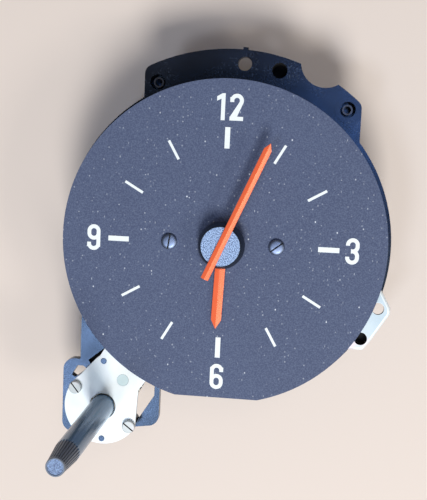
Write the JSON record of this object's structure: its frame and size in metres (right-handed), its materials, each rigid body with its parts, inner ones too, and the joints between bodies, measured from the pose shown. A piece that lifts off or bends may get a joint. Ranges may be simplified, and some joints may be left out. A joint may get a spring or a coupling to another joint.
{
  "type": "car dashboard clock",
  "caption": "Round instrument-panel quartz clock without its lens: dark dial, orange hands, zinc setting plate and a long push-and-turn setting knob, on a black moulded case.",
  "frame": {"origin": "on the hand arbor axis at the rear face", "axes": "+Z out of the dial towards the viewer, +Y to twelve o'clock, +X to three o'clock"},
  "size_m": [0.1044, 0.1272, 0.091],
  "materials": {
    "black_moulding": "satin moulded",
    "knob_plastic": "satin moulded",
    "hub_plastic": "fine grained top, smooth edge",
    "dial_paint": "matte sprayed",
    "dial_ink": "printed ink",
    "hand_orange": "satin paint",
    "zinc_steel": "bright zinc plated",
    "dark_steel": "dark phosphated",
    "plain_steel": "turned",
    "brass": "turned",
    "wheel_plastic": "moulded acetal",
    "magnet": "sintered",
    "stator_iron": "stacked sheet",
    "copper_wire": "wound enamelled wire",
    "bobbin_plastic": "moulded",
    "board": "pressed paper board",
    "chip": "moulded epoxy",
    "can": "drawn can",
    "trimmer_ceramic": "fired",
    "capacitor_sleeve": "shrunk sleeve"
  },
  "bodies": {
    "case": {"rear_cover": "black_moulding", "cover_screws": "zinc_steel", "case_frame": "black_moulding", "boss_sleeves": "dark_steel", "base_plate": "zinc_steel", "rear_plate": "brass", "pillars": "brass", "pillar_screws": "zinc_steel", "dial_plate": "dial_paint", "dial_print": "dial_ink", "dial_screws": "dark_steel", "dial_posts": "brass", "wheel_posts": "plain_steel", "post_clips": "dark_steel", "centre_bush": "brass", "setting_plate": "zinc_steel", "setting_plate_screws": "zinc_steel", "idler_stud": "plain_steel", "spring_cap": "black_moulding", "motor_stator": "stator_iron", "stator_rivets": "brass", "coil_bobbin": "bobbin_plastic", "coil_winding": "copper_wire", "circuit_board": "board", "board_posts": "brass", "board_screws": "zinc_steel", "driver_chip": "chip", "crystal_can": "can", "trimmer": "trimmer_ceramic", "capacitor": "capacitor_sleeve", "terminal_pins": "brass", "return_spring": "plain_steel"},
    "minute_arbor": {"minute_arbor": "plain_steel", "cannon_pinion": "brass", "hub_cap": "hub_plastic", "minute_hand": "hand_orange"},
    "hour_wheel": {"hour_wheel": "wheel_plastic", "hour_hand": "hand_orange"},
    "minute_wheel": {"minute_wheel": "wheel_plastic"},
    "large_idler": {"large_idler": "wheel_plastic"},
    "small_idler": {"small_idler": "wheel_plastic"},
    "setting_gear": {"setting_gear": "wheel_plastic"},
    "spring_washer": {"spring_washer": "plain_steel"},
    "setting_knob": {"setting_knob": "knob_plastic", "knob_circlip": "dark_steel"},
    "rotor": {"rotor_magnet": "magnet", "rotor_arbor": "plain_steel"},
    "intermediate_wheel": {"intermediate_wheel": "wheel_plastic"},
    "centre_wheel": {"centre_wheel": "brass"}
  },
  "joints": [
    {"name": "minute_hand_turn", "type": "hinge", "parent": "case", "child": "minute_arbor", "pos_m": [0, 0, 0.036], "axis": [0, 0, -1], "continuous": true},
    {"name": "hour_hand_turn", "type": "hinge", "parent": "case", "child": "hour_wheel", "pos_m": [0, 0, 0.036], "axis": [0, 0, -1], "continuous": true},
    {"name": "minute_wheel_turn", "type": "hinge", "parent": "case", "child": "minute_wheel", "pos_m": [0.00176, -0.01187, 0.036], "axis": [0, 0, -1], "continuous": true},
    {"name": "large_idler_turn", "type": "hinge", "parent": "case", "child": "large_idler", "pos_m": [-0.01797, -0.02723, 0.036], "axis": [0, 0, -1], "continuous": true},
    {"name": "small_idler_turn", "type": "hinge", "parent": "case", "child": "small_idler", "pos_m": [-0.03009, -0.04559, 0.036], "axis": [0, 0, -1], "continuous": true},
    {"name": "setting_gear_turn", "type": "hinge", "parent": "case", "child": "setting_gear", "pos_m": [-0.0364, -0.0546, 0.036], "axis": [0, 0, -1], "continuous": true},
    {"name": "knob_push", "type": "slide", "parent": "case", "child": "spring_washer", "axis": [0, 0, -1], "range_m": [0, 0.0015], "stiffness_N_per_m": 600, "springref_m": -0.002, "deforming": ["return_spring"]},
    {"name": "knob_turn", "type": "hinge", "parent": "spring_washer", "child": "setting_knob", "pos_m": [-0.0364, -0.0546, 0.036], "axis": [0, 0, -1], "continuous": true},
    {"name": "rotor_turn", "type": "hinge", "parent": "case", "child": "rotor", "pos_m": [0.01873, 0.00733, 0.036], "axis": [0, 0, -1], "continuous": true},
    {"name": "intermediate_wheel_turn", "type": "hinge", "parent": "case", "child": "intermediate_wheel", "pos_m": [0.00675, 0.01169, 0.036], "axis": [0, 0, -1], "continuous": true},
    {"name": "centre_wheel_turn", "type": "hinge", "parent": "case", "child": "centre_wheel", "pos_m": [0, 0, 0.036], "axis": [0, 0, -1], "continuous": true}
  ],
  "couplings": [
    {"joint": "hour_hand_turn", "follows": "minute_hand_turn", "ratio": 0.083333},
    {"joint": "minute_wheel_turn", "follows": "minute_hand_turn", "ratio": -0.33333},
    {"joint": "large_idler_turn", "follows": "minute_hand_turn", "ratio": 0.1875},
    {"joint": "small_idler_turn", "follows": "minute_hand_turn", "ratio": -0.5},
    {"joint": "setting_gear_turn", "follows": "minute_hand_turn", "ratio": 0.6},
    {"joint": "intermediate_wheel_turn", "follows": "rotor_turn", "ratio": -0.13333},
    {"joint": "centre_wheel_turn", "follows": "rotor_turn", "ratio": 0.016667}
  ]
}
